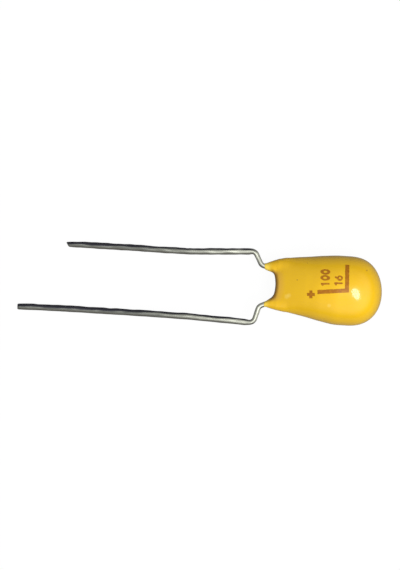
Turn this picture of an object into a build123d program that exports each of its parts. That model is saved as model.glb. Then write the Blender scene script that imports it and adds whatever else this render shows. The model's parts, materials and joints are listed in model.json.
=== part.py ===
from build123d import *
import os
from math import cos, radians, sin, tan

# A radial tantalum capacitor in a dipped epoxy coat, with crimped wire leads.
# Millimetres. It is drawn lying flat: +X runs from the leads to the crown of the coat,
# +Y points to the negative lead, and X = 0 is where the wires enter the coat.
# At the end the whole is tipped until it lies on its belly and both lead tips.

# Lead wire
WIRE_DIA = 0.50
NEGATIVE_ENTRY_Y = 1.50  # from the middle line to where each wire enters the coat
POSITIVE_ENTRY_Y = 1.42
CRIMP_RADIUS = 0.45  # of the two tight bends in each crimp, on the centre line
SWAY_RADIUS = 8.0  # of the slight bend by hand in each long run
JOG_RADIUS = 0.70  # of the two bends inside the coat that take the positive lead to the riser
JOG_ANGLE = 26.0  # between them

# Negative lead: distances out from the entry, and across from the middle line
NEGATIVE_REACH = 15.87
NEGATIVE_TIP_Y = 2.24
NEGATIVE_SWAY_X = 6.10
NEGATIVE_SWAY_Y = 2.29
NEGATIVE_CRIMP_OUT = 1.02
NEGATIVE_CRIMP_IN = 0.42
NEGATIVE_SHOULDER_Y = 2.61
SNIP_ANGLE = 32.0  # the slant of its cut end

# Positive lead, the longer one
POSITIVE_REACH = 19.50
POSITIVE_TIP_Y = 2.87
POSITIVE_SWAY_X = 6.40
POSITIVE_SWAY_Y = 2.85
POSITIVE_CRIMP_OUT = 0.82
POSITIVE_CRIMP_IN = 0.42
POSITIVE_SHOULDER_Y = 3.01

# Sintered pellet and its riser wire
PELLET_DIA = 2.80
PELLET_LENGTH = 3.60
PELLET_FRONT = 3.70
RISER_DIA = 0.36
RISER_DEPTH = 1.80  # how deep it is sintered into the pellet
RISER_LAP = 1.00  # how long it lies beside the positive lead
WELD_SET = 0.05  # how far the weld presses the two wires into each other
WASHER_DIA = 1.50
WASHER_THICKNESS = 0.20
WASHER_CLEARANCE = 0.25  # from the washer to the end of the positive lead

# Layers on the pellet, from the inside out, and how far each stops short of the last
DIOXIDE_THICKNESS = 0.10
GRAPHITE_THICKNESS = 0.03
SILVER_THICKNESS = 0.04
SOLDER_THICKNESS = 0.15
GRAPHITE_STEP = 0.12
SILVER_STEP = 0.12
SOLDER_STEP = 0.30
SOLDER_LAP = 2.60  # length of the negative lead that the solder holds
SOLDER_RUNOUT = 0.15  # solder past the end of the lead
SOLDER_FILM = 0.03  # between the silver and the lead

# Coat: how thick it is over what it covers, and where it draws in from its belly
SIDE_WALL = 0.77
FACE_WALL = 0.70
CROWN_WALL = 1.53
CROWN_Y = -0.10
BELLY_FORWARD = 2.10  # from the front of the pellet to the fullest section
SADDLE_X = 0.74  # the floor of the notch between the horns
SADDLE_EDGE = 0.30  # rounding of the edge of that floor
HORN_FILLET = 0.40  # resin in the corner between a horn and the saddle
# from the saddle to the belly: how far along, the draw of sides and faces, the shift across
DRAW_IN = (
    (0.000, 1.02, 1.80, 0.10),
    (0.060, 0.72, 1.62, 0.13),
    (0.135, 0.61, 1.42, 0.16),
    (0.290, 0.50, 1.03, 0.15),
    (0.485, 0.36, 0.58, 0.11),
    (0.720, 0.16, 0.20, 0.05),
    (1.000, 0.00, 0.00, 0.00),
)
BELLY_SHIFT = 0.06
TAIL_DRAW = 0.05  # from the belly to where the dome begins
DOME_FORWARD = 0.60  # from the back of the solder to where the dome begins
DOME_ANGLES = (15, 30, 45, 58, 70, 80)  # sections of the dome, by angle round it

# Horns: resin drawn up each wire
HORN_OVERRUN = 0.06  # how far the horn tips pass the entry
HORN_TIP_WALL = 0.05
HORN_LEAN = 0.04  # both roots lean this much to the negative side
# sections behind the tip: how far, the shift outwards and the resin over the wire
HORN = ((0.37, 0.01, 0.12), (0.69, 0.01, 0.24), (1.00, -0.02, 0.33), (1.76, -0.13, 0.36))

# Values that follow from those above
WIRE_R = WIRE_DIA / 2
PELLET_BACK = PELLET_FRONT + PELLET_LENGTH
DIOXIDE_R = PELLET_DIA / 2 + DIOXIDE_THICKNESS
GRAPHITE_R = DIOXIDE_R + GRAPHITE_THICKNESS
SILVER_R = GRAPHITE_R + SILVER_THICKNESS
SOLDER_R = SILVER_R + SOLDER_THICKNESS
DIOXIDE_FRONT = PELLET_FRONT - DIOXIDE_THICKNESS
GRAPHITE_FRONT = DIOXIDE_FRONT + GRAPHITE_STEP
SILVER_FRONT = GRAPHITE_FRONT + SILVER_STEP
SOLDER_FRONT = SILVER_FRONT + SOLDER_STEP
DIOXIDE_BACK = PELLET_BACK + DIOXIDE_THICKNESS
GRAPHITE_BACK = DIOXIDE_BACK + GRAPHITE_THICKNESS
SILVER_BACK = GRAPHITE_BACK + SILVER_THICKNESS
SOLDER_BACK = SILVER_BACK + SOLDER_THICKNESS
PELLET_Y = NEGATIVE_ENTRY_Y - WIRE_R - SOLDER_FILM - SILVER_R  # off centre, beside the lead
NEGATIVE_END = SOLDER_FRONT + SOLDER_LAP
WASHER_FRONT = PELLET_FRONT - WASHER_THICKNESS
POSITIVE_END = WASHER_FRONT - WASHER_CLEARANCE
POSITIVE_SEAT_Y = PELLET_Y - RISER_DIA / 2 - WIRE_R + WELD_SET
RISER_START = POSITIVE_END - RISER_LAP


def rod(x_start, x_end, radius, y=PELLET_Y):
    """A cylinder along X."""
    return Plane(origin=(x_start, y, 0), z_dir=(1, 0, 0)) * Cylinder(
        radius, x_end - x_start, align=(Align.CENTER, Align.CENTER, Align.MIN)
    )


def bent_wire(corners, radii):
    """Lead wire through straight runs, with a cubic curve along the arc of each bend."""
    corners = [Vector(*corner) for corner in corners]
    path = Curve()
    start = corners[0]
    for before, corner, after, radius in zip(corners, corners[1:], corners[2:], radii):
        arriving = (corner - before).normalized()
        leaving = (after - corner).normalized()
        turn = radians(arriving.get_angle(leaving))
        setback = radius * tan(turn / 2)
        handle = radius * tan(turn / 4) * 4 / 3
        bend_start = corner - arriving * setback
        bend_end = corner + leaving * setback
        path += Line(start, bend_start)
        path += Bezier(bend_start, bend_start + arriving * handle, bend_end - leaving * handle, bend_end)
        start = bend_end
    path += Line(start, corners[-1])
    section = Plane(origin=corners[0], z_dir=corners[1] - corners[0]) * Circle(WIRE_R)
    return sweep(section, path=path)


def snipped(wire, tip, angle):
    """The wire with its end cut off on the slant, through the axis at the tip."""
    reach = 4 * WIRE_DIA
    cutter = Box(reach, reach, reach, align=(Align.MAX, Align.CENTER, Align.CENTER))
    return wire - Pos(*tip, 0) * Rot(0, 0, angle) * cutter


def negative_lead():
    """The shorter lead, from its snipped tip to the solder on the pellet's side."""
    tip = (-NEGATIVE_REACH, NEGATIVE_TIP_Y)
    corners = [
        (tip[0] - WIRE_DIA, tip[1]),
        (-NEGATIVE_SWAY_X, NEGATIVE_SWAY_Y),
        (-NEGATIVE_CRIMP_OUT, NEGATIVE_SHOULDER_Y),
        (-NEGATIVE_CRIMP_IN, NEGATIVE_ENTRY_Y),
        (NEGATIVE_END, NEGATIVE_ENTRY_Y),
    ]
    radii = [SWAY_RADIUS, CRIMP_RADIUS, CRIMP_RADIUS]
    return snipped(bent_wire(corners, radii), tip, SNIP_ANGLE)


def positive_lead():
    """The longer lead, from its square-cut tip to the lap with the riser wire."""
    jog = abs(POSITIVE_ENTRY_Y + POSITIVE_SEAT_Y) / tan(radians(JOG_ANGLE))
    bend_end = RISER_START - JOG_RADIUS / 2
    corners = [
        (-POSITIVE_REACH, -POSITIVE_TIP_Y),
        (-POSITIVE_SWAY_X, -POSITIVE_SWAY_Y),
        (-POSITIVE_CRIMP_OUT, -POSITIVE_SHOULDER_Y),
        (-POSITIVE_CRIMP_IN, -POSITIVE_ENTRY_Y),
        (bend_end - jog, -POSITIVE_ENTRY_Y),
        (bend_end, POSITIVE_SEAT_Y),
        (POSITIVE_END, POSITIVE_SEAT_Y),
    ]
    radii = [SWAY_RADIUS, CRIMP_RADIUS, CRIMP_RADIUS, JOG_RADIUS, JOG_RADIUS]
    return bent_wire(corners, radii) - riser_wire()


def riser_wire():
    """The tantalum wire that is sintered into the pellet."""
    return rod(RISER_START, PELLET_FRONT + RISER_DEPTH, RISER_DIA / 2)


def insulating_washer():
    """The plastic washer round the riser wire, on the pellet's front."""
    return rod(WASHER_FRONT, PELLET_FRONT, WASHER_DIA / 2) - riser_wire()


def anode_pellet():
    """The pellet, with the blind hole that the riser wire fills."""
    return rod(PELLET_FRONT, PELLET_BACK, PELLET_DIA / 2) - riser_wire()


def dioxide_layer():
    """The first layer, on the side, the back and the front as far as the washer."""
    layer = rod(DIOXIDE_FRONT, DIOXIDE_BACK, DIOXIDE_R)
    pellet = rod(PELLET_FRONT, PELLET_BACK, PELLET_DIA / 2)
    return layer - pellet - rod(DIOXIDE_FRONT, PELLET_FRONT, WASHER_DIA / 2)


def cup(front, back, radius, inner_back, inner_radius):
    """A layer on the side and the back of what it covers."""
    return rod(front, back, radius) - rod(front, inner_back, inner_radius)


def graphite_layer():
    """The carbon layer, a little shorter than the one under it."""
    return cup(GRAPHITE_FRONT, GRAPHITE_BACK, GRAPHITE_R, DIOXIDE_BACK, DIOXIDE_R)


def silver_layer():
    """The silver paint, a little shorter again."""
    return cup(SILVER_FRONT, SILVER_BACK, SILVER_R, GRAPHITE_BACK, GRAPHITE_R)


def solder_outside():
    """The outside of the solder: round the silver, with a ridge over the negative lead."""
    end = NEGATIVE_END + SOLDER_RUNOUT
    ridge = rod(SOLDER_FRONT, end, WIRE_R + SOLDER_THICKNESS, NEGATIVE_ENTRY_Y)
    return rod(SOLDER_FRONT, SOLDER_BACK, SOLDER_R) + ridge


def solder_joint():
    """The solder over the silver, with the ridge that holds the negative lead."""
    return solder_outside() - rod(SOLDER_FRONT, SILVER_BACK, SILVER_R) - negative_lead()


def ellipse(x, y, half_width, half_thickness):
    """A section of the coat, an ellipse that stands across the X axis."""
    stand = Plane(origin=(x, y, 0), x_dir=(0, 0, 1), z_dir=(1, 0, 0))
    return (stand * Ellipse(half_thickness, half_width)).face()


def bead():
    """The coat's main body: it swells from the saddle to the belly and closes in a dome."""
    half_span = (NEGATIVE_ENTRY_Y + WIRE_R + SOLDER_THICKNESS - PELLET_Y + SOLDER_R) / 2
    width = half_span + SIDE_WALL
    thickness = SOLDER_R + FACE_WALL
    middle = PELLET_Y - SOLDER_R + half_span + BELLY_SHIFT
    belly = PELLET_FRONT + BELLY_FORWARD
    sections = []
    for along, side_draw, face_draw, shift in DRAW_IN:
        x = SADDLE_X + along * (belly - SADDLE_X)
        sections.append(ellipse(x, middle + shift, width - side_draw, thickness - face_draw))
    tail = SOLDER_BACK - DOME_FORWARD
    crown = SOLDER_BACK + CROWN_WALL
    for angle in (0, *DOME_ANGLES):
        rise = sin(radians(angle))
        size = cos(radians(angle))
        y = middle + (CROWN_Y - middle) * rise
        half_width = (width - TAIL_DRAW) * size
        half_thickness = (thickness - TAIL_DRAW) * size
        sections.append(ellipse(tail + (crown - tail) * rise, y, half_width, half_thickness))
    body = loft(sections + [Vertex(crown, CROWN_Y, 0)])
    return fillet(body.faces().sort_by(Axis.X)[0].edges(), SADDLE_EDGE)


def horn(entry_y):
    """Resin drawn up one wire: round sections that widen into the bead."""
    side = 1 if entry_y > 0 else -1
    tip = WIRE_R + HORN_TIP_WALL
    sections = [ellipse(-HORN_OVERRUN, entry_y, tip, tip)]
    for depth, shift, wall in HORN:
        y = entry_y + side * shift + HORN_LEAN
        sections.append(ellipse(depth - HORN_OVERRUN, y, WIRE_R + wall, WIRE_R + wall))
    return loft(sections)


def contents():
    """What the coat is dipped round, as whole forms from the back to the front."""
    return [
        solder_outside(),
        rod(SILVER_FRONT, SOLDER_FRONT, SILVER_R),
        rod(GRAPHITE_FRONT, SILVER_FRONT, GRAPHITE_R),
        rod(DIOXIDE_FRONT, GRAPHITE_FRONT, DIOXIDE_R),
        rod(WASHER_FRONT, DIOXIDE_FRONT, WASHER_DIA / 2),
        riser_wire(),
        negative_lead(),
        positive_lead(),
    ]


def epoxy_coat():
    """The dipped coat: a bead with two horns, and a saddle between them."""
    body = bead() + [horn(NEGATIVE_ENTRY_Y), horn(-POSITIVE_ENTRY_Y)]
    coat = fillet([edge for edge in body.edges() if is_horn_root(edge)], HORN_FILLET)
    for form in contents():
        coat = coat - form
    return coat


def is_horn_root(edge):
    """Whether an edge is part of the line where a horn leaves the bead."""
    box = edge.bounding_box()
    return box.min.X > SADDLE_X / 2 and box.max.X < PELLET_FRONT - WASHER_THICKNESS


def resting_plane(coat):
    """The floor it comes to rest on, under the coat's belly and both lead tips."""
    tips = [Vector(-POSITIVE_REACH, -POSITIVE_TIP_Y), Vector(-NEGATIVE_REACH, NEGATIVE_TIP_Y)]
    far = POSITIVE_REACH + NEGATIVE_REACH
    down = Vector(0, 0, -1)
    for _ in range(4):
        floor = Plane(origin=down * far, z_dir=down) * Rectangle(2 * far, 2 * far)
        belly = coat.closest_points(floor.face())[0]
        positive, negative = [tip + down * WIRE_R for tip in tips]
        down = (positive - belly).cross(negative - belly).normalized()
        if down.Z > 0:
            down = -down
    ahead = Vector(1, 0, 0) - down * down.X
    return Plane(origin=belly, x_dir=ahead, z_dir=-down)


def build():
    """Every piece by name, as it lies at rest, with the origin below the middle."""
    pieces = {
        "epoxy_coat": epoxy_coat(),
        "positive_lead": positive_lead(),
        "negative_lead": negative_lead(),
        "riser_wire": riser_wire(),
        "insulating_washer": insulating_washer(),
        "anode_pellet": anode_pellet(),
        "manganese_dioxide_layer": dioxide_layer(),
        "graphite_layer": graphite_layer(),
        "silver_layer": silver_layer(),
        "solder_joint": solder_joint(),
    }
    lie = resting_plane(pieces["epoxy_coat"]).location.inverse()
    resting = {name: lie * piece for name, piece in pieces.items()}
    box = Compound([s for piece in resting.values() for s in piece.solids()]).bounding_box()
    to_origin = Pos(-box.center().X, -box.center().Y, 0)
    return {name: to_origin * piece for name, piece in resting.items()}


os.makedirs("parts", exist_ok=True)
for node, piece in build().items():
    export_step(piece, f"parts/{node}.step")
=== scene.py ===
"""The looks of a dipped tantalum capacitor: its coat, print and tinned leads on a pale floor."""

import json
import logging
import math
from dataclasses import dataclass
from enum import Enum
from typing import Any, Callable, Sequence, Union

import bpy
import numpy as np
from mathutils import Matrix, Vector


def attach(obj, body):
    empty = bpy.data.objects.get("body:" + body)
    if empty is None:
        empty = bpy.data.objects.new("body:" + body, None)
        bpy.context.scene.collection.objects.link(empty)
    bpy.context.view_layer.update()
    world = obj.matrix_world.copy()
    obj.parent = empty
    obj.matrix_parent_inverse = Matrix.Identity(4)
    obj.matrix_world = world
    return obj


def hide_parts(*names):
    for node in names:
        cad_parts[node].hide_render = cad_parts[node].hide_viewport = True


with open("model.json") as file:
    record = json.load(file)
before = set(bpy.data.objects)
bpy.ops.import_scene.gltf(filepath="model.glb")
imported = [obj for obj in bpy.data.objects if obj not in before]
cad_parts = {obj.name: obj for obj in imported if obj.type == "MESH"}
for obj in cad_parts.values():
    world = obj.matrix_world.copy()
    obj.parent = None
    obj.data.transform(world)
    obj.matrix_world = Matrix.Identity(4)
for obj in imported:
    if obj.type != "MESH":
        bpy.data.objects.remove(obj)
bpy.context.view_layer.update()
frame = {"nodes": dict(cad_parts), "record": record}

LOG = logging.getLogger("capacitor")
MM = 0.001
BODY = "root"
WHITE = (1.0, 1.0, 1.0)

Number = Union[float, "Value"]
Pair = tuple[float, float]
Colour = tuple[float, float, float]
Field = Callable[[np.ndarray], np.ndarray]


# Shader building


class Coordinates(Enum):
    """What a shader can read at a point."""

    PLACE = "Object"
    FACING = "Normal"
    RAY = "Generated"


class Value:
    """A number in a shader, so that maths on it reads as a plain expression."""

    def __init__(self, graph: "Graph", socket: bpy.types.NodeSocket) -> None:
        """Keeps the graph and the socket that gives the number."""
        self.graph = graph
        self.socket = socket

    def _maths(self, operation: str, *terms: Number) -> "Value":
        """Adds one Math node."""
        node = self.graph.node("ShaderNodeMath", {"operation": operation}, dict(enumerate(terms)))
        return Value(self.graph, node.outputs[0])

    def __add__(self, other: Number) -> "Value":
        """Sum."""
        return self._maths("ADD", self, other)

    __radd__ = __add__

    def __sub__(self, other: Number) -> "Value":
        """Difference."""
        return self._maths("SUBTRACT", self, other)

    def __rsub__(self, other: Number) -> "Value":
        """Difference from a plain number."""
        return self._maths("SUBTRACT", other, self)

    def __mul__(self, other: Number) -> "Value":
        """Product."""
        return self._maths("MULTIPLY", self, other)

    __rmul__ = __mul__

    def __abs__(self) -> "Value":
        """Size without sign."""
        return self._maths("ABSOLUTE", self)

    def step(self, low: float, high: float) -> "Value":
        """A smooth rise from 0 at low to 1 at high; it falls where high is the lower one.

        Args:
            low: where the rise starts.
            high: where it ends.

        Returns:
            The eased share, from 0 to 1.
        """
        start, end = min(low, high), max(low, high)
        node = self.graph.node(
            "ShaderNodeMapRange",
            {"interpolation_type": "SMOOTHSTEP"},
            {"Value": self, "From Min": start, "From Max": end},
        )
        rise = Value(self.graph, node.outputs["Result"])
        return rise if low < high else 1 - rise


@dataclass(frozen=True)
class PartAxes:
    """The lead plane: x along the part to the crown, y to the negative lead, z out of the plane.

    It is found from the two lead tips that the record states as mounts. Positions are in
    millimetres from the middle between the wires, where they enter the coat.
    """

    positive_tip: Pair = (-19.50, -2.87)
    negative_tip: Pair = (-15.87, 2.24)

    def matrix(self) -> Matrix:
        """Finds where the plane lies.

        Returns:
            The turn, scale and shift from millimetres in the plane to metres in the frame.
        """
        mounts = {mount["name"]: mount for mount in frame["record"]["mounts"]}
        tip = Vector(mounts["positive_tail"]["pos_m"])
        reach = Vector(mounts["negative_tail"]["pos_m"]) - tip
        out = -Vector(mounts["positive_tail"]["axis"])
        up = out.cross(reach).normalized()
        run = self.negative_tip[0] - self.positive_tip[0]
        rise = self.negative_tip[1] - self.positive_tip[1]
        turn = Matrix.Rotation(-math.atan2(rise, run), 3, up)
        along = (turn @ reach).normalized()
        across = up.cross(along)
        scaled = Matrix((along, across, up)).transposed() * MM
        origin = tip - scaled @ Vector((*self.positive_tip, 0))
        return Matrix.Translation(origin) @ scaled.to_4x4()

    def place(self, points: np.ndarray) -> np.ndarray:
        """Moves points from the lead plane, in millimetres, into the frame."""
        matrix = np.array(self.matrix())
        return points @ matrix[:3, :3].T + matrix[:3, 3]

    def direction(self, x: float, y: float, z: float) -> Vector:
        """A direction in the lead plane's axes, as a unit vector in the frame."""
        return (self.matrix().to_3x3() @ Vector((x, y, z))).normalized()


AXES = PartAxes()


class Graph:
    """The nodes of a material or of the world, with one method that adds any node."""

    def __init__(self, owner: Union[bpy.types.Material, bpy.types.World]) -> None:
        """Empties the owner's nodes.

        Args:
            owner: the material or the world.
        """
        owner.use_nodes = True
        self.owner = owner
        self.nodes = owner.node_tree.nodes
        self.nodes.clear()

    @classmethod
    def material(cls, name: str) -> "Graph":
        """Starts a new material."""
        return cls(bpy.data.materials.new(name))

    def node(self, kind: str, settings: dict[str, Any], inputs: dict[Any, Any]) -> bpy.types.Node:
        """Adds a node.

        Args:
            kind: the node's type.
            settings: its properties, which are set first.
            inputs: values or links, by the name or the number of the socket.

        Returns:
            The node.
        """
        node = self.nodes.new(kind)
        for key, setting in settings.items():
            setattr(node, key, setting)
        for key, value in inputs.items():
            self._feed(node.inputs[key], value)
        return node

    def _feed(self, socket: bpy.types.NodeSocket, value: Any) -> None:
        """Links or sets one socket.

        Args:
            socket: the input.
            value: a number for expressions, another node's output, or a plain value.
        """
        if isinstance(value, Value):
            value = value.socket
        if isinstance(value, bpy.types.NodeSocket):
            self.owner.node_tree.links.new(value, socket)
        elif socket.type == "RGBA" and len(value) == 3:
            socket.default_value = (*value, 1.0)
        else:
            socket.default_value = value

    def value(self, node: bpy.types.Node, output: str) -> Value:
        """One output of a node, as a number for expressions."""
        return Value(self, node.outputs[output])

    def position(self) -> tuple[Value, Value, Value]:
        """Reads where a point is.

        Returns:
            Its x, y and z in the lead plane's axes, in millimetres.
        """
        to_plane = AXES.matrix().inverted()
        rows = [self.along(Coordinates.PLACE, row[:3]) + row[3] for row in to_plane[:3]]
        return rows[0], rows[1], rows[2]

    def along(self, coordinates: Coordinates, direction: Sequence[float]) -> Value:
        """How far coordinates reach along a direction.

        Args:
            coordinates: a place, what a surface faces, or in the world where a ray goes.
            direction: the direction, in the frame.

        Returns:
            The dot product.
        """
        source = self.node("ShaderNodeTexCoord", {}, {}).outputs[coordinates.value]
        settings = {"operation": "DOT_PRODUCT"}
        dot = self.node("ShaderNodeVectorMath", settings, {0: source, 1: tuple(direction)})
        return self.value(dot, "Value")

    def vector(self, x: Number, y: Number, z: Number) -> bpy.types.NodeSocket:
        """Joins three numbers into a vector."""
        return self.node("ShaderNodeCombineXYZ", {}, {0: x, 1: y, 2: z}).outputs[0]

    def noise(self, at: bpy.types.NodeSocket, scale: float, detail: float) -> Value:
        """Soft noise from 0 to 1.

        Args:
            at: the coordinates.
            scale: how many lumps fit in one unit of them.
            detail: how many finer layers are added.

        Returns:
            The noise.
        """
        inputs = {"Vector": at, "Scale": scale, "Detail": detail, "Roughness": 0.55}
        return self.value(self.node("ShaderNodeTexNoise", {}, inputs), "Fac")

    def mix(self, share: Number, first: Any, second: Any) -> bpy.types.NodeSocket:
        """Blends two colours.

        Args:
            share: 0 for the first colour, 1 for the second.
            first: a colour or a link.
            second: a colour or a link.

        Returns:
            The blended colour.
        """
        inputs = {0: share, 6: first, 7: second}
        return self.node("ShaderNodeMix", {"data_type": "RGBA"}, inputs).outputs[2]

    def bump(self, height: Number, strength: float, distance: float) -> bpy.types.NodeSocket:
        """A normal from a height.

        Args:
            height: the height, in units of the distance.
            strength: how much of it shows.
            distance: the unit, in metres.

        Returns:
            The normal.
        """
        inputs = {"Height": height, "Strength": strength, "Distance": distance}
        return self.node("ShaderNodeBump", {}, inputs).outputs["Normal"]

    def surface(self, **inputs: Any) -> bpy.types.Material:
        """Ends the material in one Principled surface.

        Args:
            inputs: values or links, by socket name with _ for a space.

        Returns:
            The material.
        """
        named = {key.replace("_", " "): value for key, value in inputs.items()}
        shader = self.node("ShaderNodeBsdfPrincipled", {}, named)
        self.node("ShaderNodeOutputMaterial", {}, {"Surface": shader.outputs["BSDF"]})
        return self.owner


# Finishes


@dataclass(frozen=True)
class Mark:
    """A small round mark on the front, in millimetres in the lead plane's axes."""

    x: float
    y: float
    radius: float
    soft_from: float = 0.3

    def share(self, graph: Graph) -> Value:
        """How far a point is inside the mark.

        Args:
            graph: the nodes to add to.

        Returns:
            0 at its rim and behind the lead plane, 1 in its middle.
        """
        x, y, z = graph.position()
        ends = {0: graph.vector(x, y, 0.0), 1: (self.x, self.y, 0.0)}
        away = graph.node("ShaderNodeVectorMath", {"operation": "DISTANCE"}, ends)
        inside = graph.value(away, "Value").step(self.radius, self.radius * self.soft_from)
        return inside * z.step(0.0, 0.1)


@dataclass(frozen=True)
class GoldenEpoxy:
    """Glossy golden resin, thinner and paler on the wires, with painted shade in the saddle and a few
    painted glints.

    A reach is where a tint starts and where it is full, in millimetres. The saddle's painted
    shade follows its bowed floor.
    """

    body: Colour = (0.82, 0.493, 0.012)
    deep: Colour = (0.74, 0.412, 0.010)
    film: Colour = (0.84, 0.62, 0.080)
    # Painted shade in the saddle: a broad band, and a deep shade near its floor.
    saddle_shade: Colour = (0.70, 0.37, 0.075)
    deep_shade: Colour = (0.22, 0.105, 0.018)
    speck: Colour = (0.30, 0.15, 0.02)
    # Painted glint: a pale colour for spots that stand in for faint reflections.
    painted_glint: Colour = (0.93, 0.70, 0.17)
    clouds_per_mm: float = 0.45
    cloud_share: float = 0.35
    grains_per_mm: float = 7.0
    grain_share: float = 0.10
    lumps_per_mm: float = 1.3
    lump_height: float = 0.03
    patch_range: Pair = (0.35, 0.75)
    # Where the painted shade in the saddle lies: deepest near its floor and towards the front rim.
    saddle_bow: float = 0.17
    saddle_side: Pair = (1.35, 0.90)
    saddle_shade_reach: Pair = (1.65, 1.00)
    saddle_shade_share: float = 0.45
    deep_shade_reach: Pair = (1.10, 0.80)
    deep_shade_share: float = 0.40
    front_rim: Pair = (0.0, 0.40)
    front_share: float = 0.50
    film_reach: Pair = (0.45, 0.0)
    film_share: float = 0.8
    specks: tuple[Mark, ...] = (Mark(7.85, 1.67, 0.09), Mark(2.42, 0.57, 0.08), Mark(3.13, 1.95, 0.06))
    speck_share: float = 0.60
    painted_glints: tuple[Mark, ...] = (Mark(1.68, -0.79, 0.26), Mark(1.86, -0.68, 0.22), Mark(5.04, -1.28, 0.20))
    painted_glint_share: float = 0.30
    roughness: float = 0.22

    def material(self) -> bpy.types.Material:
        """Builds the finish.

        Returns:
            The material.
        """
        graph = Graph.material("golden_epoxy")
        x, y, z = graph.position()
        at = graph.vector(x, y, z)
        cloud = graph.noise(at, self.clouds_per_mm, 2.0)
        grain = graph.noise(at, self.grains_per_mm, 3.0)
        colour = graph.mix(cloud.step(*self.patch_range) * self.cloud_share, self.body, self.deep)
        colour = graph.mix(grain.step(*self.patch_range) * self.grain_share, colour, self.deep)
        # Painted shade in the saddle: a broad band, and a deeper shade near the floor that is darkest at
        # the front rim.
        floor = x + y * y * self.saddle_bow
        inside = abs(y).step(*self.saddle_side)
        saddle_shaded = floor.step(*self.saddle_shade_reach) * inside * self.saddle_shade_share
        colour = graph.mix(saddle_shaded, colour, self.saddle_shade)
        rim = z.step(*self.front_rim) * self.front_share + self.deep_shade_share
        colour = graph.mix(floor.step(*self.deep_shade_reach) * inside * rim, colour, self.deep_shade)
        colour = graph.mix(x.step(*self.film_reach) * self.film_share, colour, self.film)
        # Painted glints: pale spots where faint reflections would fall.
        for mark in self.painted_glints:
            colour = graph.mix(mark.share(graph) * self.painted_glint_share, colour, self.painted_glint)
        for mark in self.specks:
            colour = graph.mix(mark.share(graph) * self.speck_share, colour, self.speck)
        lumps = graph.noise(at, self.lumps_per_mm, 1.0)
        return graph.surface(
            Base_Color=colour,
            Roughness=grain * 0.06 + self.roughness,
            Specular_IOR_Level=0.22,
            Coat_Weight=0.5,
            Coat_Roughness=0.07,
            IOR=1.5,
            Normal=graph.bump(lumps, 0.30, self.lump_height * MM),
        )


@dataclass(frozen=True)
class TinnedWire:
    """Dull tinned wire, bright in the crimps and darker towards the tips, with painted shade along
    the flank that faces +y and a grey painted shade along the flank that faces -y.

    A reach is where a tint starts and where it is full, along x in millimetres. A flank is
    the same for what the surface faces, from -1 to 1.
    """

    clean: Colour = (0.51, 0.52, 0.44)
    dull: Colour = (0.072, 0.076, 0.070)
    # Painted shade: the first for the flank that faces +y, the second for the lower flank.
    flank_shade: Colour = (0.018, 0.018, 0.026)
    edge: Colour = (0.14, 0.135, 0.115)
    streaks_per_mm: float = 2.2
    streak_stretch: Pair = (0.25, 2.0)
    patches_per_mm: float = 0.8
    pit_depth: float = 0.02
    darkening_reach: Pair = (0.8, -11.0)
    darkening_share: float = 0.85
    low_shade_flank: Pair = (-0.22, -0.66)
    low_shade_share: float = 0.9
    shade_flank: Pair = (0.32, 0.56)
    shade_reach: Pair = (-0.4, -1.6)
    wide_reach: Pair = (-8.0, -14.0)
    wide_by: float = 0.42
    front_flank: Pair = (-0.45, 0.0)
    metallic: float = 0.55
    roughness: float = 0.38

    def material(self) -> bpy.types.Material:
        """Builds the finish.

        Returns:
            The material.
        """
        graph = Graph.material("tinned_wire")
        x, y, z = graph.position()
        along, across = self.streak_stretch
        stretched = graph.vector(x * along, y * across, z * across)
        streaks = graph.noise(stretched, self.streaks_per_mm, 2.0)
        patches = graph.noise(graph.vector(x, y, z), self.patches_per_mm, 2.0)
        # Darker from the crimps towards the tips, with streaks.
        darkening = x.step(*self.darkening_reach) * self.darkening_share + streaks.step(0.45, 0.8) * 0.25
        colour = graph.mix(darkening, self.clean, self.dull)
        flank = graph.along(Coordinates.FACING, AXES.direction(0, 1, 0))
        # Painted shade: a grey along the lower flank, which faces -y, standing in for a dim reflection
        # there.
        low = (flank - (patches - 0.5) * 0.3).step(*self.low_shade_flank)
        colour = graph.mix(low * self.low_shade_share, colour, self.edge)
        # Painted shade along the flank that faces +y and the front, standing in for the shadow and dark
        # surround mirrored there; it widens towards the tips and breaks up with noise.
        wider = x.step(*self.wide_reach) * self.wide_by
        shaded = (flank + (patches - 0.5) * 0.6 + wider).step(*self.shade_flank)
        front = graph.along(Coordinates.FACING, AXES.direction(0, 0, 1)).step(*self.front_flank)
        shaded = shaded * x.step(*self.shade_reach) * front
        colour = graph.mix(shaded, colour, self.flank_shade)
        return graph.surface(
            Base_Color=colour,
            Metallic=self.metallic - shaded * 0.3,
            Roughness=streaks * 0.12 + self.roughness,
            Normal=graph.bump(streaks * 0.5 + patches * 0.5, 0.3, self.pit_depth * MM),
        )


@dataclass(frozen=True)
class BrownInk:
    """Brown ink, paler in patches where it is thin."""

    full: Colour = (0.37, 0.130, 0.006)
    thin: Colour = (0.46, 0.185, 0.008)
    patches_per_mm: float = 5.0
    thickness: float = 0.004

    def material(self) -> bpy.types.Material:
        """Builds the finish.

        Returns:
            The material.
        """
        graph = Graph.material("marking_ink")
        cover = graph.noise(graph.vector(*graph.position()), self.patches_per_mm, 3.0)
        return graph.surface(
            Base_Color=graph.mix(cover.step(0.4, 0.72), self.full, self.thin),
            Roughness=0.40,
            Specular_IOR_Level=0.25,
            Normal=graph.bump(cover, 0.3, self.thickness * MM),
        )


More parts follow.
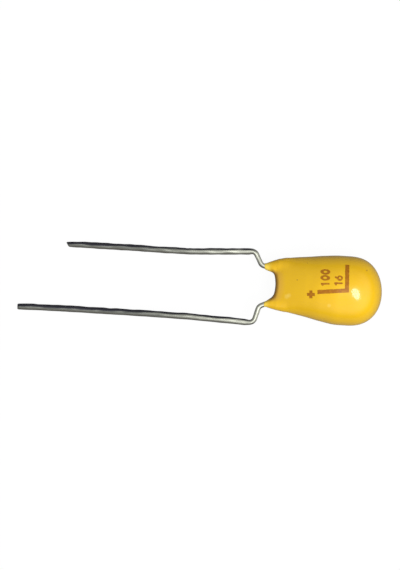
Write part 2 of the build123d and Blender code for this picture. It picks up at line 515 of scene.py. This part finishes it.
@dataclass(frozen=True)
class Mottled:
    """A plain finish for a piece inside the coat: two tones, one grain size."""

    node: str
    name: str
    light: Colour
    dark: Colour
    grains_per_mm: float
    roughness: float
    metallic: float = 0.0
    grain_depth: float = 0.02

    def material(self) -> bpy.types.Material:
        """Builds the finish.

        Returns:
            The material.
        """
        graph = Graph.material(self.name)
        grain = graph.noise(graph.vector(*graph.position()), self.grains_per_mm, 4.0)
        return graph.surface(
            Base_Color=graph.mix(grain.step(0.35, 0.65), self.dark, self.light),
            Roughness=grain * 0.1 + self.roughness,
            Metallic=self.metallic,
            Normal=graph.bump(grain, 0.4, self.grain_depth * MM),
        )


# Mesh building


def mesh_piece(name: str, points: np.ndarray, faces: Sequence[Sequence[int]]) -> bpy.types.Object:
    """A smooth-shaded mesh object.

    Args:
        name: the piece's name.
        points: its vertices, in millimetres in the lead plane's axes.
        faces: vertex numbers of each face.

    Returns:
        The object, in the scene.
    """
    mesh = bpy.data.meshes.new(name)
    mesh.from_pydata(AXES.place(points).tolist(), [], [list(map(int, face)) for face in faces])
    mesh.validate()
    mesh.polygons.foreach_set("use_smooth", [True] * len(mesh.polygons))
    mesh.update()
    piece = bpy.data.objects.new(name, mesh)
    bpy.context.scene.collection.objects.link(piece)
    return piece


def eased(x: np.ndarray, places: Sequence[float], heights: Sequence[float]) -> np.ndarray:
    """A smooth line through stations, with no overshoot.

    Args:
        x: where to read it.
        places: the stations, rising.
        heights: its value at each.

    Returns:
        The value at each x, level beyond the ends.
    """
    p, h = np.asarray(places, float), np.asarray(heights, float)
    slope = np.diff(h) / np.diff(p)
    left, right = slope[:-1], slope[1:]
    same_way = left * right > 0
    inner = np.where(same_way, 2 * left * right / np.where(same_way, left + right, 1), 0)
    tangent = np.concatenate(([slope[0]], inner, [0.0]))
    at = np.clip(x, p[0], p[-1])
    i = np.clip(np.searchsorted(p, at, side="right") - 1, 0, len(p) - 2)
    width = p[i + 1] - p[i]
    t = (at - p[i]) / width
    rise = t * t * (3 - 2 * t)
    first = (t**3 - 2 * t**2 + t) * width * tangent[i]
    second = (t**3 - t**2) * width * tangent[i + 1]
    return h[i] + (h[i + 1] - h[i]) * rise + first + second


def smooth_union(a: np.ndarray, b: np.ndarray, radius: float) -> np.ndarray:
    """Joins two distance fields with a soft corner.

    Args:
        a: distance to the first form.
        b: distance to the second.
        radius: size of the corner.

    Returns:
        The distance to both together.
    """
    overlap = np.maximum(radius - np.abs(a - b), 0) / radius
    return np.minimum(a, b) - overlap**3 * radius / 6


def cells_round(edges: np.ndarray, axis: int) -> list[tuple[np.ndarray, ...]]:
    """The four grid cells that share each grid edge, in order round it.

    Args:
        edges: the lower grid point of each edge (n, 3).
        axis: the axis that the edges run along.

    Returns:
        Four indices into the grid of cells.
    """
    found = []
    for u, v in ((0, 0), (1, 0), (1, 1), (0, 1)):
        cells = edges.copy()
        cells[:, (axis + 1) % 3] -= u
        cells[:, (axis + 2) % 3] -= v
        found.append(tuple(cells.T))
    return found


def surface_net(
    distance: Field, low: Sequence[float], high: Sequence[float], step: float
) -> tuple[np.ndarray, np.ndarray]:
    """Quads over the surface where a distance field is zero.

    Args:
        distance: takes points (n, 3) and gives their signed distances.
        low: lowest corner of the room searched.
        high: its highest corner.
        step: the size of a quad.

    Returns:
        Points (n, 3) and quads (m, 4).
    """
    sides = [np.arange(a, b + step, step) for a, b in zip(low, high)]
    grid = np.stack(np.meshgrid(*sides, indexing="ij"), axis=-1)
    values = distance(grid.reshape(-1, 3)).reshape(grid.shape[:3])
    number = np.full(values.shape, -1)
    crossings = []
    for axis in range(3):
        near = np.take(values, range(values.shape[axis] - 1), axis)
        far = np.take(values, range(1, values.shape[axis]), axis)
        edges = np.argwhere((near < 0) != (far < 0))
        here, there = near[tuple(edges.T)], far[tuple(edges.T)]
        crossed = edges.astype(float)
        crossed[:, axis] += here / (here - there)
        cells = cells_round(edges, axis)
        crossings.append((cells, crossed, here < 0))
        for cell in cells:
            number[cell] = 0
    used = np.argwhere(number == 0)
    number[tuple(used.T)] = np.arange(len(used))
    total, share, quads = np.zeros((len(used), 3)), np.zeros(len(used)), []
    for cells, crossed, leaving in crossings:
        corners = [number[cell] for cell in cells]
        for corner in corners:
            np.add.at(total, corner, crossed)
            np.add.at(share, corner, 1)
        quad = np.stack(corners, axis=1)
        quads.append(np.where(leaving[:, None], quad, quad[:, ::-1]))
    points = total / share[:, None] * step + np.asarray(low)
    return points, np.concatenate(quads)


def drawn_to(distance: Field, points: np.ndarray, rounds: int = 3) -> np.ndarray:
    """Points moved onto the surface where a distance field is zero.

    Args:
        distance: takes points and gives their signed distances.
        points: where they start.
        rounds: how often they are moved.

    Returns:
        The moved points.
    """
    for _ in range(rounds):
        slope = normals_of(distance, points)
        size = np.sum(slope**2, axis=1, keepdims=True)
        points = points - distance(points)[:, None] * slope / size
    return points


def normals_of(distance: Field, points: np.ndarray, reach: float = 0.01) -> np.ndarray:
    """The slope of a distance field, which points out of the form.

    Args:
        distance: takes points and gives their signed distances.
        points: where it is read.
        reach: how far to each side the field is read.

    Returns:
        The slope at each point.
    """
    slope = np.zeros_like(points)
    for axis in range(points.shape[1]):
        shift = np.zeros(points.shape[1])
        shift[axis] = reach
        slope[:, axis] = distance(points + shift) - distance(points - shift)
    return slope / (2 * reach)


# Sub-assemblies


@dataclass
class DippedCoat:
    """The dipped coat: a bead with a saddle, and two horns drawn up the wires.

    Sizes are in millimetres in the lead plane's axes. The bead and the horns have their
    sections at stations along x. The negative horn comes first.
    """

    stations: tuple[float, ...] = (0.74, 1.04, 1.42, 1.90, 2.53, 3.20, 4.40, 5.80)
    half_widths: tuple[float, ...] = (1.52, 1.86, 2.09, 2.18, 2.28, 2.38, 2.59, 2.745)
    half_depths: tuple[float, ...] = (0.62, 0.80, 1.00, 1.24, 1.54, 1.84, 2.23, 2.42)
    middles: tuple[float, ...] = (0.09, 0.12, 0.14, 0.13, 0.11, 0.08, 0.02, -0.035)
    dome_start: float = 6.40
    crown: float = 9.18
    crown_middle: float = -0.16
    lean_power: int = 4
    dome_power: float = 2.55
    saddle: float = 0.74
    saddle_bow: float = 0.17
    saddle_edge: float = 0.30
    horn_stations: tuple[float, ...] = (-0.22, -0.08, 0.10, 0.31, 0.63, 0.94, 1.50, 2.15)
    horn_tips: Pair = (-0.22, -0.08)
    horn_half_widths: tuple[tuple[float, ...], ...] = (
        (0.21, 0.27, 0.33, 0.40, 0.50, 0.56, 0.58, 0.48),
        (0.20, 0.205, 0.24, 0.345, 0.48, 0.56, 0.58, 0.48),
    )
    horn_middles: tuple[tuple[float, ...], ...] = (
        (1.51, 1.475, 1.47, 1.485, 1.53, 1.56, 1.50, 1.38),
        (-1.56, -1.53, -1.46, -1.41, -1.36, -1.33, -1.28, -1.20),
    )
    horn_half_depths: tuple[float, ...] = (0.29, 0.30, 0.33, 0.38, 0.49, 0.58, 0.61, 0.50)
    horn_blend: float = 0.40
    quad: float = 0.06
    half_room: Pair = (3.1, 2.7)

    def distance(self, points: np.ndarray) -> np.ndarray:
        """Measures how far points are from the coat's surface.

        Args:
            points: the points (n, 3).

        Returns:
            The distances, below zero inside.
        """
        x, y, z = points.T
        half_width = eased(x, self.stations, self.half_widths)
        half_depth = eased(x, self.stations, self.half_depths)
        dome = np.clip((x - self.dome_start) / (self.crown - self.dome_start), 0, None)
        middle = eased(x, self.stations, self.middles)
        middle = middle + dome**self.lean_power * (self.crown_middle - self.middles[-1])
        across = ((y - middle) / half_width) ** 2 + (z / half_depth) ** 2
        bead = (np.sqrt(dome**self.dome_power + across) - 1) * half_depth
        floor = self.saddle - self.saddle_bow * y**2
        bead = -smooth_union(-bead, x - floor, self.saddle_edge)
        return smooth_union(bead, self._horns(points), self.horn_blend)

    def _horns(self, points: np.ndarray) -> np.ndarray:
        """Measures how far points are from the nearer horn.

        Args:
            points: the points (n, 3).

        Returns:
            The distances, below zero inside.
        """
        x, y, z = points.T
        half_depth = eased(x, self.horn_stations, self.horn_half_depths)
        found = []
        for tip, widths, middles in zip(self.horn_tips, self.horn_half_widths, self.horn_middles):
            half_width = eased(x, self.horn_stations, widths)
            middle = eased(x, self.horn_stations, middles)
            ring = (np.hypot((y - middle) / half_width, z / half_depth) - 1) * half_width
            found.append(np.maximum(ring, np.maximum(tip - x, x - self.horn_stations[-1])))
        return np.minimum(*found)

    def build(self) -> bpy.types.Object:
        """Makes the coat's skin and puts it in the place of the plain one.

        Returns:
            The piece.
        """
        margin = 3 * self.quad
        side, height = self.half_room
        low = (min(self.horn_tips) - margin, -side, -height)
        high = (self.crown + margin, side, height)
        points, quads = surface_net(self.distance, low, high, self.quad)
        points = drawn_to(self.distance, points)
        piece = mesh_piece("dipped_coat", points, quads)
        piece.data.materials.append(GoldenEpoxy().material())
        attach(piece, BODY)
        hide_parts("epoxy_coat")
        return piece


@dataclass(frozen=True)
class Nick:
    """A nick in the flank of a wire that faces +y, in millimetres."""

    x: float
    length: float
    depth: float


@dataclass
class LeadWire:
    """One formed wire lead, with the dents of handling and a cut tip.

    The route is in millimetres in the lead plane's axes, from the tip inwards, with a bend's
    radius at each inner point. A run says over what length a change fades.
    """

    name: str
    node: str
    route: tuple[Pair, ...]
    radii: tuple[float, ...]
    seed: int
    nicks: tuple[Nick, ...]
    snip_angle: float = 0.0
    radius: float = 0.255
    spacing: float = 0.06
    sides: int = 28
    pinch: float = 0.05
    pinch_run: float = 0.9
    rounding: float = 0.20
    rounding_run: float = 0.04
    nick_power: int = 8
    dent_depth: float = 0.014
    dent_waves: tuple[Pair, ...] = ((3.1, 0.9), (1.7, 0.8), (0.9, 0.35))
    dent_turns: int = 4
    dent_total: float = 2.2
    smooth_from: float = -0.2
    smooth_run: float = 0.5
    pressed_from: float = -1.1
    pressed_to: float = 0.15
    pressed_runs: Pair = (0.4, 0.3)
    pressed_flat: float = 0.78
    pressed_high: float = 1.08

    def centre_line(self) -> tuple[np.ndarray, np.ndarray]:
        """Follows the straight runs and their tangent arcs.

        Returns:
            Points (n, 2) and the direction at each.
        """
        corners = np.array(self.route)
        path = []
        start = corners[0]
        for before, corner, after, radius in zip(corners, corners[1:], corners[2:], self.radii):
            back, ahead = before - corner, after - corner
            back, ahead = back / np.linalg.norm(back), ahead / np.linalg.norm(ahead)
            turn = math.pi - math.acos(float(np.clip(back @ ahead, -1, 1)))
            setback = radius * math.tan(turn / 2)
            first, last = corner + back * setback, corner + ahead * setback
            path += self._run(start, first)
            bisector = (back + ahead) / np.linalg.norm(back + ahead)
            centre = corner + bisector * radius / math.cos(turn / 2)
            steps = max(2, int(radius * turn / self.spacing))
            for share in (k / steps for k in range(steps)):
                ends = (first - centre) * math.sin((1 - share) * turn)
                arm = (ends + (last - centre) * math.sin(share * turn)) / math.sin(turn)
                way = np.array([-arm[1], arm[0]]) / np.linalg.norm(arm)
                path.append((centre + arm, way if way @ (last - first) > 0 else -way))
            start = last
        path += self._run(start, corners[-1])
        path.append((corners[-1], path[-1][1]))
        points, ways = zip(*path)
        return np.array(points), np.array(ways)

    def _run(self, start: np.ndarray, end: np.ndarray) -> list[tuple[np.ndarray, np.ndarray]]:
        """Divides a straight run.

        Args:
            start: where it starts.
            end: where it ends.

        Returns:
            Points along it and the direction at each, without its end.
        """
        length = float(np.linalg.norm(end - start))
        steps = max(1, int(length / self.spacing))
        return [(start + (end - start) * k / steps, (end - start) / length) for k in range(steps)]

    def _dents(self, run: np.ndarray, angle: np.ndarray) -> np.ndarray:
        """Works out how far handling has pushed the surface out.

        Args:
            run: lengths along the wire (n, 1).
            angle: angles round it (1, m).

        Returns:
            The push (n, m), below zero for a dent.
        """
        random = np.random.RandomState(self.seed)
        total = np.zeros(np.broadcast(run, angle).shape)
        for wavelength, share in self.dent_waves:
            for turns in range(self.dent_turns):
                phase = random.uniform(0, 2 * math.pi, 2)
                wave = np.sin(2 * math.pi * run / wavelength + phase[0])
                total += share * wave * np.cos(turns * angle + phase[1])
        return total * self.dent_depth / self.dent_total

    def _skin_radius(self, x: np.ndarray, run: np.ndarray, angle: np.ndarray) -> np.ndarray:
        """Works out the wire's radius, with its cut end, dents and nicks.

        Args:
            x: places along the part (n, 1).
            run: lengths along the wire (n, 1).
            angle: angles round it (1, m).

        Returns:
            The radius (n, m).
        """
        fade = np.clip((self.smooth_from - x) / self.smooth_run, 0, 1)
        shrink = self.pinch * np.exp(-run / self.pinch_run)
        shrink = shrink + self.rounding * np.exp(-run / self.rounding_run)
        radius = self.radius * (1 - shrink) + self._dents(run, angle) * fade
        for nick in self.nicks:
            near = np.exp(-(((x - nick.x) / nick.length) ** 2))
            radius = radius - nick.depth * near * np.cos(angle / 2) ** self.nick_power
        return radius

    def _rings(self) -> np.ndarray:
        """Lays rings of points along the wire.

        Returns:
            The rings (n, m, 3).
        """
        line, ways = self.centre_line()
        x, y = line[:, :1], line[:, 1:]
        steps = np.linalg.norm(np.diff(line, axis=0), axis=1)
        run = np.concatenate(([0.0], np.cumsum(steps)))[:, None]
        angle = np.linspace(0, 2 * math.pi, self.sides, endpoint=False)[None, :]
        radius = self._skin_radius(x, run, angle)
        pressed = np.clip((x - self.pressed_from) / self.pressed_runs[0] + 1, 0, 1)
        pressed = pressed * np.clip((self.pressed_to - x) / self.pressed_runs[1] + 1, 0, 1)
        flat = radius * np.cos(angle) * (1 + (self.pressed_flat - 1) * pressed)
        high = radius * np.sin(angle) * (1 + (self.pressed_high - 1) * pressed)
        slant = math.tan(math.radians(self.snip_angle)) * np.exp(-run / self.radius)
        forward = -flat * slant
        x = x - ways[:, 1:] * flat + ways[:, :1] * forward
        y = y + ways[:, :1] * flat + ways[:, 1:] * forward
        return np.stack([x, y, high], axis=2)

    def _skin(self, rings: np.ndarray) -> tuple[np.ndarray, list[tuple[int, ...]]]:
        """Joins the rings and closes both ends.

        Args:
            rings: the rings (n, m, 3).

        Returns:
            The points and the faces.
        """
        first, last = rings[0].mean(0), rings[-1].mean(0)
        points = np.concatenate([rings.reshape(-1, 3), [first, last]])
        base = (len(rings) - 1) * self.sides
        faces = []
        for start in range(0, base, self.sides):
            for k in range(self.sides):
                a, b = start + k, start + (k + 1) % self.sides
                faces.append((a, a + self.sides, b + self.sides, b))
        for k in range(self.sides):
            after = (k + 1) % self.sides
            faces.append((len(points) - 2, k, after))
            faces.append((len(points) - 1, base + after, base + k))
        return points, faces

    def build(self) -> bpy.types.Object:
        """Makes the wire and puts it in the place of the plain one.

        Returns:
            The piece.
        """
        points, faces = self._skin(self._rings())
        piece = mesh_piece(self.name, points, faces)
        piece.data.materials.append(TinnedWire().material())
        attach(piece, BODY)
        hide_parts(self.node)
        return piece


# The shorter lead has a slanted snip. The longer one is cut square, and jogs to the riser wire.
NEGATIVE_WIRE = LeadWire(
    name="negative_wire",
    node="negative_lead",
    route=(
        (-15.87, 2.21), (-14.9, 2.255), (-10.3, 2.285), (-8.2, 2.265), (-5.9, 2.295),
        (-1.02, 2.61), (-0.42, 1.50), (6.74, 1.50),
    ),
    radii=(8.0, 8.0, 8.0, 8.0, 0.45, 0.45),
    seed=7,
    nicks=(Nick(-6.4, 0.18, 0.03), Nick(-9.1, 0.25, 0.02)),
    snip_angle=30.0,
    pinch=0.20,
)
POSITIVE_WIRE = LeadWire(
    name="positive_wire",
    node="positive_lead",
    route=(
        (-19.5, -2.94), (-18.4, -2.90), (-16.0, -2.86), (-9.8, -2.835), (-6.1, -2.855), (-2.6, -2.965),
        (-0.82, -3.03), (-0.45, -1.71), (0.14, -1.43), (0.485, -1.42), (1.9, -0.73), (3.25, -0.73),
    ),
    radii=(8.0, 8.0, 8.0, 8.0, 8.0, 0.45, 0.45, 0.4, 0.7, 0.7),
    seed=3,
    nicks=(Nick(-17.9, 0.3, 0.03), Nick(-12.2, 0.3, 0.025)),
)


@dataclass(frozen=True)
class Bar:
    """A straight stroke of ink with square ends, in millimetres."""

    start: Pair
    end: Pair
    width: float

    def distance(self, points: np.ndarray) -> np.ndarray:
        """Measures how far places are from its edge.

        Args:
            points: the places (n, 2).

        Returns:
            The distances, below zero in the stroke.
        """
        x, y = points.T
        (ax, ay), (bx, by) = self.start, self.end
        length = math.hypot(bx - ax, by - ay)
        dx, dy = (bx - ax) / length, (by - ay) / length
        run = (x - ax) * dx + (y - ay) * dy
        side = (y - ay) * dx - (x - ax) * dy
        return np.maximum(np.abs(run - length / 2) - length / 2, np.abs(side) - self.width / 2)


@dataclass(frozen=True)
class Loop:
    """A stroke of ink round an oval, in millimetres."""

    centre: Pair
    radii: Pair
    width: float

    def distance(self, points: np.ndarray) -> np.ndarray:
        """Measures how far places are from its edge.

        Args:
            points: the places (n, 2).

        Returns:
            The distances, below zero in the stroke.
        """
        x, y = points.T
        (cx, cy), (rx, ry) = self.centre, self.radii
        away = np.hypot((x - cx) / rx, (y - cy) / ry) - 1
        return np.abs(away * min(rx, ry)) - self.width / 2


@dataclass(frozen=True)
class PlainNumber:
    """A number in the print, in millimetres.

    It starts at the top of its first digit and runs towards +y, and its digits stand on +x.
    """

    digits: str
    start: Pair
    advance: float
    height: float = 0.67
    stroke: float = 0.13
    half_width: float = 0.15
    turn: float = 2.5
    flag_drop: float = 0.12
    bowl_share: float = 0.30
    stem_lean: float = 0.7

    def strokes(self) -> list[Union[Bar, Loop]]:
        """Draws the digits.

        Returns:
            Their strokes.
        """
        half = self.half_width
        top, foot = self.stroke / 2, self.height - self.stroke / 2
        strokes = []
        for place, digit in enumerate(self.digits):
            left = place * self.advance + self.stroke / 2
            middle = left + half
            if digit == "1":
                strokes.append(self._bar((0.0, middle), (self.height, middle)))
                strokes.append(self._bar((top, middle), (top + self.flag_drop, left)))
            elif digit == "0":
                strokes.append(self._loop((self.height / 2, middle), (foot - top) / 2))
            elif digit == "6":
                bowl = (foot - top) * self.bowl_share
                strokes.append(self._loop((foot - bowl, middle), bowl))
                stem_top = (top, middle + half * self.stem_lean)
                strokes.append(self._bar((foot - bowl, left), stem_top))
        return strokes

    def _turned(self, place: Pair) -> Pair:
        """Turns a place, given as down and right from the number's start, with the print.

        Args:
            place: the place in the number.

        Returns:
            The place on the part.
        """
        cosine, sine = math.cos(math.radians(self.turn)), math.sin(math.radians(self.turn))
        down, right = place
        x = self.start[0] + down * cosine - right * sine
        return x, self.start[1] + down * sine + right * cosine

    def _bar(self, start: Pair, end: Pair) -> Bar:
        """A straight stroke of a digit."""
        return Bar(self._turned(start), self._turned(end), self.stroke)

    def _loop(self, middle: Pair, half_height: float) -> Loop:
        """A round stroke of a digit."""
        return Loop(self._turned(middle), (half_height, self.half_width), self.stroke)


@dataclass
class Marking:
    """The print: a polarity cross, an L-shaped polarity bar and two plain numbers.

    Places are in millimetres in the lead plane's axes. The print reads with the leads up.
    """

    coat: DippedCoat
    cross: tuple[Bar, ...] = (
        Bar((3.26, -0.52), (3.87, -0.48), 0.24),
        Bar((3.58, -0.81), (3.54, -0.19), 0.24),
    )
    polarity_bar: tuple[Bar, ...] = (
        Bar((4.06, -0.28), (6.53, 0.01), 0.32),
        Bar((6.365, -0.11), (6.283, 2.02), 0.32),
    )
    numbers: tuple[PlainNumber, ...] = (
        PlainNumber("100", (4.30, 0.18), 0.47),
        PlainNumber("16", (5.34, 0.29), 0.40),
    )
    room_x: Pair = (3.0, 7.0)
    room_y: Pair = (-1.2, 2.3)
    room_z: float = 3.0
    cell: float = 0.025
    raise_by: float = 0.012
    ragged: float = 0.010
    ragged_waves: tuple[int, ...] = (31, 17, 37, 23)
    halvings: int = 24

    def ink(self, points: np.ndarray) -> np.ndarray:
        """Measures how far places are from the ink's slightly ragged edge.

        Args:
            points: the places (n, 2).

        Returns:
            The distances, below zero in the ink.
        """
        strokes = [*self.cross, *self.polarity_bar]
        for number in self.numbers:
            strokes += number.strokes()
        nearest = np.full(len(points), math.inf)
        for stroke in strokes:
            nearest = np.minimum(nearest, stroke.distance(points))
        x, y = points.T
        a, b, c, d = self.ragged_waves
        ragged = np.sin(x * a + 2 * np.sin(y * b)) * np.sin(y * c + 2 * np.sin(x * d))
        return nearest + self.ragged * ragged

    def build(self) -> bpy.types.Object:
        """Lays the ink on the coat's front.

        Returns:
            The piece.
        """
        along, across = np.arange(*self.room_x, self.cell), np.arange(*self.room_y, self.cell)
        grid = np.stack(np.meshgrid(along, across, indexing="ij"), axis=-1)
        middle = grid[:-1, :-1] + self.cell / 2
        filled = self.ink(middle.reshape(-1, 2)).reshape(middle.shape[:2]) < 0
        rows, columns = np.nonzero(filled)
        width = len(across)
        corner = rows * width + columns
        quads = np.stack([corner, corner + width, corner + width + 1, corner + 1], axis=1)
        used, back = np.unique(quads, return_inverse=True)
        quads = back.reshape(quads.shape)
        points = grid.reshape(-1, 2)[used]
        at_edge = np.bincount(quads.ravel(), minlength=len(points)) < 4
        points[at_edge] = drawn_to(self.ink, points[at_edge], 2)
        piece = mesh_piece("printed_marks", self._on_coat(points), quads)
        piece.data.materials.append(BrownInk().material())
        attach(piece, BODY)
        return piece

    def _on_coat(self, points: np.ndarray) -> np.ndarray:
        """Puts places of the print on the coat's front, a hair above it.

        Args:
            points: the places (n, 2).

        Returns:
            The raised points (n, 3).
        """
        low, high = np.zeros(len(points)), np.full(len(points), self.room_z)
        for _ in range(self.halvings):
            z = (low + high) / 2
            inside = self.coat.distance(np.column_stack([points, z])) < 0
            low, high = np.where(inside, z, low), np.where(inside, high, z)
        return np.column_stack([points, (low + high) / 2 + self.raise_by])


@dataclass
class InnerStack:
    """What the coat is dipped round. The CAD pieces stay as they are and get their finishes."""

    finishes: tuple[Mottled, ...] = (
        Mottled("riser_wire", "tantalum_wire", (0.34, 0.35, 0.38), (0.22, 0.22, 0.25), 5.0, 0.3, 1.0),
        Mottled("insulating_washer", "washer_plastic", (0.86, 0.86, 0.83), (0.78, 0.78, 0.74), 3.0, 0.45),
        Mottled(
            "anode_pellet", "sintered_tantalum", (0.24, 0.24, 0.26), (0.10, 0.10, 0.11), 14.0, 0.75, 0.6
        ),
        Mottled(
            "manganese_dioxide_layer", "manganese_dioxide", (0.05, 0.05, 0.05), (0.02, 0.02, 0.02), 9.0, 0.8
        ),
        Mottled("graphite_layer", "graphite", (0.09, 0.09, 0.10), (0.04, 0.04, 0.045), 7.0, 0.55),
        Mottled("silver_layer", "silver_paint", (0.68, 0.67, 0.64), (0.50, 0.50, 0.47), 8.0, 0.5, 0.6),
        Mottled("solder_joint", "solder", (0.66, 0.66, 0.63), (0.46, 0.46, 0.45), 2.5, 0.25, 1.0),
    )

    def dress(self) -> None:
        """Gives each piece its finish."""
        for finish in self.finishes:
            piece = frame["nodes"][finish.node]
            piece.data.materials.clear()
            piece.data.materials.append(finish.material())
            LOG.info("dressed %s", finish.node)


@dataclass
class Studio:
    """The floor, the lamp, the surround and the camera, which looks down on the part.

    Pixels are the photograph's. The glint, in millimetres, and the directions are in the
    lead plane's axes, and the sensor is in millimetres. Other sizes are in metres and angles
    in degrees.
    """

    picture: tuple[int, int] = (400, 570)
    pixels_per_mm: float = 12.65
    entry_pixel: Pair = (266.0, 285.2)
    tilt: float = 3.7
    camera_distance: float = 0.60
    sensor: float = 24.0
    glint: tuple[float, float, float] = (7.19, -0.23, 2.3)
    key_distance: float = 0.5
    key_size: Pair = (0.31, 0.165)
    key_roll: float = 40.0
    key_radiance: float = 13.5
    bright_side: tuple[float, float, float] = (0.82, -0.57, 0.0)
    bright_range: Pair = (-0.4, 0.95)
    bright_gain: float = 1.15
    soft_level: float = 0.36
    horizon: Pair = (0.0, 0.6)
    floor_half: float = 1.5
    floor_drop: float = 0.00001
    floor_seen: Colour = (0.95, 0.95, 0.95)
    floor_lit: Colour = (0.15, 0.15, 0.15)
    floor_white: float = 0.96
    floor_mirrored: float = 0.10
    world_mirrored: float = 0.05

    def camera(self) -> None:
        """Puts the camera over the part, turned as in the photograph."""
        turn = math.radians(self.tilt)
        right = AXES.direction(math.cos(turn), math.sin(turn), 0)
        up = AXES.direction(-math.sin(turn), math.cos(turn), 0)
        back = AXES.direction(0, 0, 1)
        offset_right = (self.picture[0] / 2 - self.entry_pixel[0]) / self.pixels_per_mm
        offset_up = (self.entry_pixel[1] - self.picture[1] / 2) / self.pixels_per_mm
        target = AXES.matrix().translation + (right * offset_right + up * offset_up) * MM
        data = bpy.data.cameras.new("camera")
        data.sensor_fit = "VERTICAL"
        data.sensor_height = self.sensor
        data.lens = self.sensor * self.camera_distance / (self.picture[1] / self.pixels_per_mm * MM)
        camera = bpy.data.objects.new("camera", data)
        turned = Matrix((right, up, back)).transposed().to_4x4()
        camera.matrix_world = Matrix.Translation(target + back * self.camera_distance) @ turned
        bpy.context.scene.collection.objects.link(camera)
        bpy.context.scene.camera = camera

    def key_lamp(self, coat: DippedCoat) -> None:
        """Puts a soft oval lamp where its reflection falls on the dome.

        Args:
            coat: the coat that mirrors it.
        """
        spot = drawn_to(coat.distance, np.array([self.glint]))
        normal = normals_of(coat.distance, spot)[0]
        normal = normal / np.linalg.norm(normal)
        mirrored = 2 * normal[2] * normal - np.array([0, 0, 1.0])
        way = AXES.direction(*mirrored)
        width, height = self.key_size
        data = bpy.data.lights.new("key", "AREA")
        data.shape = "ELLIPSE"
        data.size, data.size_y = width, height
        data.energy = self.key_radiance * math.pi * width * height * math.pi / 4
        lamp = bpy.data.objects.new("key", data)
        lamp.location = way * self.key_distance
        roll = Matrix.Rotation(math.radians(self.key_roll), 3, "Z")
        lamp.rotation_euler = (way.to_track_quat("Z", "Y").to_matrix() @ roll).to_euler()
        lamp.visible_camera = False
        bpy.context.scene.collection.objects.link(lamp)

    def world(self) -> None:
        """A soft surround, lighter to the lower right of the picture, and white to the camera."""
        world = bpy.data.worlds.new("surround")
        bpy.context.scene.world = world
        graph = Graph(world)
        side = graph.along(Coordinates.RAY, AXES.direction(*self.bright_side))
        up = graph.along(Coordinates.RAY, AXES.direction(0, 0, 1))
        level = side.step(*self.bright_range) * self.bright_gain + self.soft_level
        level = level * up.step(*self.horizon)
        soft = graph.node("ShaderNodeBackground", {}, {"Color": WHITE, "Strength": level})
        white = graph.node("ShaderNodeBackground", {}, {"Color": WHITE, "Strength": 1.0})
        path = graph.node("ShaderNodeLightPath", {}, {})
        share = self._white_share(graph, path, 1.0, self.world_mirrored)
        ends = {0: share, 1: soft.outputs[0], 2: white.outputs[0]}
        mixed = graph.node("ShaderNodeMixShader", {}, ends)
        graph.node("ShaderNodeOutputWorld", {}, {"Surface": mixed.outputs[0]})

    def _white_share(self, graph: Graph, path: bpy.types.Node, direct: float, mirrored: float) -> Value:
        """The share of plain white in what a ray meets.

        Args:
            graph: the nodes to add to.
            path: its Light Path node.
            direct: the share for the camera.
            mirrored: the share in reflections and through clear things.

        Returns:
            The share.
        """
        gloss = graph.value(path, "Is Glossy Ray") + graph.value(path, "Is Transmission Ray")
        return graph.value(path, "Is Camera Ray") * direct + gloss * mirrored

    def floor(self) -> None:
        """A plain white floor, under the part's lowest point."""
        mesh = bpy.data.meshes.new("floor")
        half = self.floor_half
        corners = [(-half, -half, 0), (half, -half, 0), (half, half, 0), (-half, half, 0)]
        mesh.from_pydata(corners, [], [(0, 1, 2, 3)])
        floor = bpy.data.objects.new("floor", mesh)
        floor.location.z = -self.floor_drop
        bpy.context.scene.collection.objects.link(floor)
        graph = Graph.material("white_floor")
        path = graph.node("ShaderNodeLightPath", {}, {})
        seen = graph.value(path, "Is Camera Ray")
        colour = graph.mix(seen, self.floor_lit, self.floor_seen)
        paint = graph.node("ShaderNodeBsdfDiffuse", {}, {"Color": colour})
        glow = graph.node("ShaderNodeEmission", {}, {"Color": WHITE, "Strength": 1.0})
        share = self._white_share(graph, path, self.floor_white, self.floor_mirrored)
        ends = {0: share, 1: paint.outputs[0], 2: glow.outputs[0]}
        mixed = graph.node("ShaderNodeMixShader", {}, ends)
        graph.node("ShaderNodeOutputMaterial", {}, {"Surface": mixed.outputs[0]})
        mesh.materials.append(graph.owner)


def main() -> None:
    """Builds the part's looks and the studio round it."""
    logging.basicConfig(level=logging.INFO, format="%(message)s")
    bpy.context.scene.view_settings.view_transform = "Standard"
    coat = DippedCoat()
    for part in (coat, NEGATIVE_WIRE, POSITIVE_WIRE, Marking(coat)):
        piece = part.build()
        LOG.info("%s: %d faces", piece.name, len(piece.data.polygons))
    InnerStack().dress()
    studio = Studio()
    studio.floor()
    studio.key_lamp(coat)
    studio.world()
    studio.camera()


if __name__ == "__main__":
    main()
